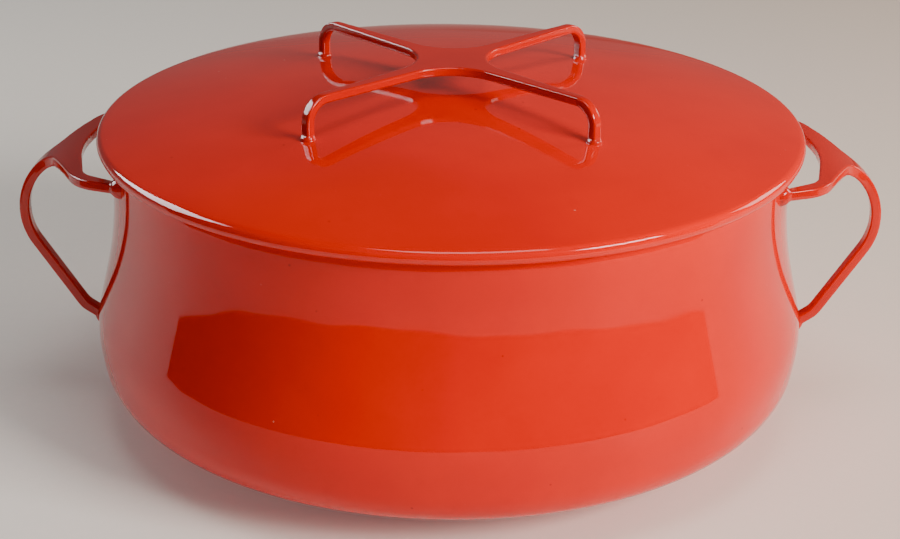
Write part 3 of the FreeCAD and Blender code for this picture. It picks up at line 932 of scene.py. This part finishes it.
def glow(name: str, colour: Any, strength: float) -> bpy.types.Material:
    """A material that only gives light.

    Args:
        name: The material's name.
        colour: Colour of the light, as a value with alpha.
        strength: How bright it is.

    Returns:
        The material.
    """
    made = bpy.data.materials.new(name)
    shader = Shader(made)
    light = shader.raw("ShaderNodeEmission", {}, {"Color": colour, "Strength": strength})
    shader.raw("ShaderNodeOutputMaterial", {}, {"Surface": light.outputs[0]})
    return made


def unseen(name: str, mesh: bpy.types.Mesh) -> None:
    """Stage a card that neither the camera nor any matt surface sees.

    Args:
        name: The card's name.
        mesh: Its mesh, already in place.
    """
    card = bpy.data.objects.new(name, mesh)
    bpy.context.scene.collection.objects.link(card)
    card.visible_camera = False
    card.visible_diffuse = False
    card.visible_shadow = False
    card.visible_transmission = False


@dataclass
class Studio:
    """Floor, dark card, lights, sky and camera."""

    floor_half: float = 4.0
    floor_drop: float = 0.2 * MM
    # strength of the painted light glowing on the floor's left
    floor_glow: float = 0.16
    card_radius: float = 0.42
    card_height: float = 0.30
    card_lean: float = 1.25
    card_from: float = -82.5
    card_sweep: float = 158.5
    card_steps: int = 48
    card_waves: tuple[tuple[float, float, float], ...] = (
        (0.011, 3.1, 0.6), (0.005, 8.3, 0.0), (0.003, 19.0, 0.0))
    sky_strength: float = 0.30
    camera_place: tuple[float, float, float] = (0.00013, -0.82774, 0.40254)
    camera_tilt: float = 22.62
    camera_roll: float = 0.64
    camera_lens: float = 85.96
    lights: tuple[SoftBox, ...] = (
        SoftBox("key_box", (1.35, -0.95, 0.85), (0.8, 0.6), 50.0, (1.0, 0.93, 0.86)),
        SoftBox("right_fill", (1.3, 0.55, 0.60), (0.6, 0.5), 8.0, (1.0, 0.86, 0.76)),
        SoftBox("top_bank", (0.1, -0.3, 2.0), (1.0, 0.8), 13.0, (1.0, 0.98, 0.95)),
    )
    glows: tuple[GlowCard, ...] = (
        GlowCard("left_window", (-0.97, 0.30, 0.70), (0.85, 0.64), 15.0, (0.96, 0.98, 1.0)),
    )

    def build(self) -> None:
        """Set up everything round the object."""
        self._floor()
        self._card()
        for light in self.lights + self.glows:
            light.build()
        self._sky()
        self._camera()

    def _floor(self) -> None:
        """A pale floor with a faint paper grain, its colour running from pale grey on the left to warm taupe
        on the right, with painted shade darkening it towards the back and painted light making it glow a
        little on the left.
        """
        half = self.floor_half
        mesh = bpy.data.meshes.new("floor")
        mesh.from_pydata([(-half, -half, 0), (half, -half, 0), (half, half, 0), (-half, half, 0)], [],
                         [(0, 1, 2, 3)])
        floor = bpy.data.objects.new("floor", mesh)
        floor.location.z = -self.floor_drop
        bpy.context.scene.collection.objects.link(floor)
        made = bpy.data.materials.new("pale_floor")
        shader = Shader(made)
        place = shader.raw("ShaderNodeSeparateXYZ", {}, {0: shader.place()})
        across = Link(shader, place.outputs[0]).ramp(-0.7, 0.7)
        # Painted shade: the floor's colour darkens towards the back, standing in for light falling off with
        # distance.
        back_shade = Link(shader, place.outputs[1]).ramp(0.15, 1.5)
        paper = shader.blend(across, rgba((0.90, 0.91, 0.88)), rgba((0.72, 0.56, 0.46)))
        back_shaded = shader.blend(back_shade * 0.60, paper, rgba((0.22, 0.20, 0.17)))
        grain = shader.noise(240.0, 3.0, 0.6)
        colour = shader.blend(grain * 0.10, back_shaded, rgba((0.40, 0.38, 0.35)))
        # Painted light: the floor's left side glows a little, standing in for light falling there.
        spill = shader.blend(across, rgba((1.0, 1.0, 0.96)), rgba((0.05, 0.04, 0.03)))
        surface = shader.raw("ShaderNodeBsdfPrincipled", {},
                             {"Base Color": colour, "Roughness": 0.6, "Specular IOR Level": 0.2,
                              "Emission Color": spill, "Emission Strength": self.floor_glow})
        shader.raw("ShaderNodeOutputMaterial", {}, {"Surface": surface.outputs[0]})
        mesh.materials.append(made)

    def _card(self) -> None:
        """A curved dark card in front, seen only in reflections."""
        verts, faces = [], []
        for step in range(self.card_steps + 1):
            angle = math.radians(self.card_from + self.card_sweep * step / self.card_steps)
            wave = sum(size * math.sin(angle * rate + shift) for size, rate, shift in self.card_waves)
            radius = self.card_radius + wave
            x, y = radius * math.sin(angle), -radius * math.cos(angle)
            verts += [(x, y, 0.0), (x * self.card_lean, y * self.card_lean, self.card_height)]
        for first in range(0, 2 * self.card_steps, 2):
            faces.append((first, first + 2, first + 3, first + 1))
        mesh = bpy.data.meshes.new("dark_card")
        mesh.from_pydata(verts, [], faces)
        made = bpy.data.materials.new("dark_card")
        shader = Shader(made)
        cloud = shader.noise(9.0, 3.0, 0.55).ramp(0.35, 0.75)
        tone = shader.blend(cloud, rgba((0.002, 0.001, 0.001)), rgba((0.035, 0.022, 0.016)))
        light = shader.raw("ShaderNodeEmission", {}, {"Color": tone, "Strength": 1.0})
        shader.raw("ShaderNodeOutputMaterial", {}, {"Surface": light.outputs[0]})
        mesh.materials.append(made)
        unseen("dark_card", mesh)

    def _sky(self) -> None:
        """An even grey surround, a little warmer on the right."""
        world = bpy.data.worlds.new("surround")
        bpy.context.scene.world = world
        shader = Shader(world)
        way = shader.node("ShaderNodeTexCoord", output="Generated")
        parts = shader.raw("ShaderNodeSeparateXYZ", {}, {0: way})
        x = Link(shader, parts.outputs[0])
        z = Link(shader, parts.outputs[2])
        side = shader.blend(x.ramp(-0.8, 0.9), rgba((0.56, 0.58, 0.60)), rgba((0.74, 0.60, 0.50)))
        tall = shader.blend(z.ramp(0.35, 0.85), side, rgba((0.10, 0.09, 0.085)))
        ground = shader.raw("ShaderNodeBackground", {}, {"Color": tall, "Strength": self.sky_strength})
        shader.raw("ShaderNodeOutputWorld", {}, {"Surface": ground.outputs[0]})

    def _camera(self) -> None:
        """The camera at the object's usual viewing angle."""
        lens = bpy.data.cameras.new("camera")
        lens.sensor_width = 36.0
        lens.lens = self.camera_lens
        lens.clip_start = 0.01
        holder = bpy.data.objects.new("camera", lens)
        tilt, roll = math.radians(self.camera_tilt), math.radians(self.camera_roll)
        forward = Vector((0.0, math.cos(tilt), -math.sin(tilt)))
        right = Vector((1.0, 0.0, 0.0))
        up = right.cross(forward)
        level_right = right * math.cos(roll) + up * math.sin(roll)
        level_up = up * math.cos(roll) - right * math.sin(roll)
        turn = Matrix((level_right, level_up, -forward)).transposed()
        holder.matrix_world = Matrix.Translation(self.camera_place) @ turn.to_4x4()
        bpy.context.scene.collection.objects.link(holder)
        bpy.context.scene.camera = holder


# ------------------------------------------------------------------ assembly
def dress(piece: bpy.types.Object, body: str, nodes: Iterable[str]) -> None:
    """Tie a finished piece to its body and hide the frame nodes that it stands for.

    Args:
        piece: The finished piece.
        body: Name of the body that it rides on.
        nodes: Names of the frame nodes that it replaces.
    """
    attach(piece, body)
    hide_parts(*nodes)
    triangles = sum(len(polygon.vertices) - 2 for polygon in piece.data.polygons)
    LOG.info("%s rides on %s with %d triangles", piece.name, body, triangles)


def main() -> None:
    """Build the casserole and its studio."""
    logging.basicConfig(level=logging.INFO, format="%(message)s")
    Studio().build()
    lathe = Lathe()
    pot = Pot(lathe)
    lid = Lid(lathe)
    dress(pot.build(), "pot", ["pot_body"])
    for side, word in ((1, "right"), (-1, "left")):
        handle = side_handle(pot, side)
        dress(handle.build(), "pot", handle.nodes)
    dress(lid.build(), "lid", ["lid_shell"])
    dress(lid.build_ring(), "lid", ["lid_locating_ring"])
    cross = cross_handle(lid)
    dress(cross.build(), "lid", cross.nodes)


if __name__ == "__main__":
    main()
